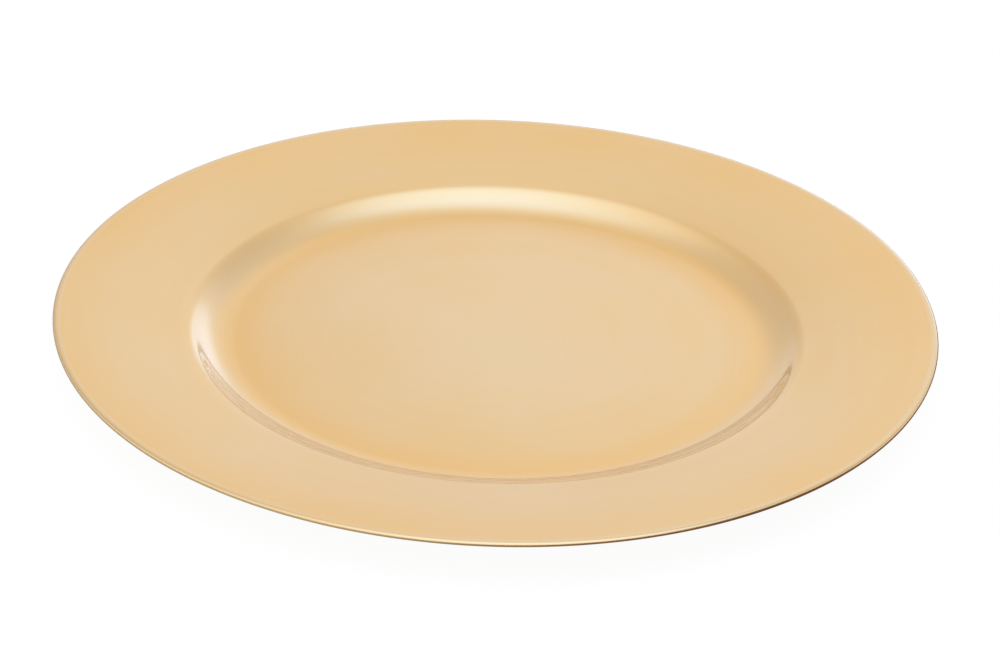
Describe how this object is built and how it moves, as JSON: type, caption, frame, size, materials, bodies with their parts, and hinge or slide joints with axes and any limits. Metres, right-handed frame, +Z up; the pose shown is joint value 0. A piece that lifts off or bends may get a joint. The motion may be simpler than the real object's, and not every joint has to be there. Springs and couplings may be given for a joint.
{
  "type": "paten plate",
  "caption": "Round shallow metal plate with a wide, gently rising rim, a flat-floored well and a rolled, wired edge on a low foot ring.",
  "frame": {"origin": "on the axis, in the plane that the foot ring stands on", "axes": "+Z up along the axis of symmetry, out of the well; X and Y level, and alike because the plate is round"},
  "size_m": [0.33, 0.33, 0.0172],
  "materials": {
    "gilt_brass": "fine spun satin, gilded and clear lacquered",
    "foot_brass": "turned satin, gilded and clear lacquered",
    "steel_wire": "drawn",
    "hard_solder": "flowed and gilded over"
  },
  "bodies": {
    "root": {"plate_shell": "gilt_brass", "rim_wire": "steel_wire", "foot_ring": "foot_brass", "solder_seam": "hard_solder"}
  },
  "joints": []
}
